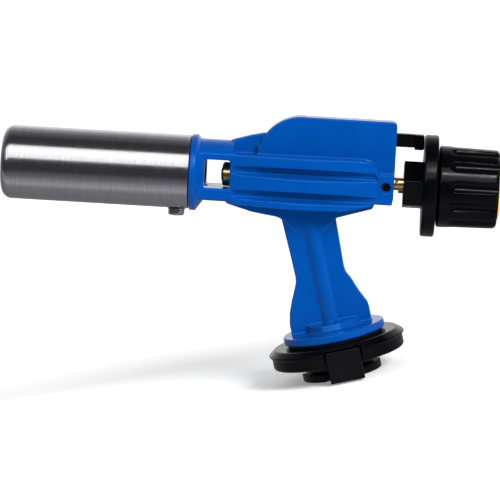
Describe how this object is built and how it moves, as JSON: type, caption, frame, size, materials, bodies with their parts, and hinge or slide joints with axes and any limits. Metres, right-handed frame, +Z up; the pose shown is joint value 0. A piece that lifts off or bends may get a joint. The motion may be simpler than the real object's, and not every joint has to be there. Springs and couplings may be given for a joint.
{
  "type": "gas_torch_head",
  "caption": "Hand-held gas torch head with a steel burner tube, blue cast body, piezo push-and-turn knob and a black bayonet base for a gas cartridge",
  "frame": {"origin": "on the cartridge axis, at the underside of the bayonet boss", "axes": "+Z up along the cartridge axis; the burner points to -X and 15 degrees up; the control knob is at +X; the grub screw and the locking tab face -Y"},
  "size_m": [0.1878, 0.052, 0.1184],
  "materials": {
    "blue_paint": "gloss paint on a zinc die casting",
    "tube_steel": "brushed around the tube",
    "screw_steel": "bright zinc plating",
    "inner_steel": "plain stainless",
    "brass": "turned",
    "gloss_black": "smooth moulded",
    "matte_black": "fine moulded grain",
    "yellow_plastic": "smooth moulded",
    "black_rubber": "nitrile",
    "lead_jacket": "silicone jacket",
    "white_ceramic": "unglazed",
    "case_plastic": "moulded",
    "black_oxide": "blackened steel"
  },
  "bodies": {
    "body": {"housing": "blue_paint", "burner_tube": "tube_steel", "tube_screw": "screw_steel", "mixing_tube": "inner_steel", "flame_holder": "inner_steel", "electrode": "inner_steel", "electrode_insulator": "white_ceramic", "ignition_lead": "lead_jacket", "gas_jet": "brass", "jet_filter": "brass", "valve_body": "brass", "valve_o_rings": "black_rubber", "gland_nut": "brass", "grub_screw": "black_oxide", "piezo_case": "case_plastic", "piezo_spring": "inner_steel", "base_ring": "gloss_black", "gasket": "black_rubber", "bayonet_adapter": "matte_black", "adapter_screws": "screw_steel", "inlet_nozzle": "brass", "inlet_o_ring": "black_rubber"},
    "needle": {"needle": "brass"},
    "valve_stem": {"valve_stem": "brass", "stem_o_ring": "black_rubber", "drive_key": "brass", "knob_screw": "screw_steel"},
    "knob": {"knob": "gloss_black", "knob_disc": "gloss_black", "knob_cap": "yellow_plastic"},
    "plunger": {"plunger": "case_plastic", "plunger_button": "gloss_black"}
  },
  "joints": [
    {"name": "needle_lift", "type": "slide", "parent": "body", "child": "needle", "axis": [0.9659, 0, -0.2588], "range_m": [0, 0.00105]},
    {"name": "valve_turn", "type": "hinge", "parent": "needle", "child": "valve_stem", "pos_m": [0.00251, 0, 0.07563], "axis": [0.9659, 0, -0.2588], "range_deg": [0, 540]},
    {"name": "knob_push", "type": "slide", "parent": "valve_stem", "child": "knob", "axis": [-0.9659, 0, 0.2588], "range_m": [0, 0.0032], "stiffness_N_per_m": 400},
    {"name": "plunger_push", "type": "slide", "parent": "body", "child": "plunger", "axis": [-0.9659, 0, 0.2588], "range_m": [0, 0.0032], "deforming": ["piezo_spring"]}
  ],
  "couplings": [
    {"joint": "valve_turn", "follows": "needle_lift", "rad_per_m": 8976},
    {"joint": "plunger_push", "follows": "knob_push", "ratio": 1}
  ]
}
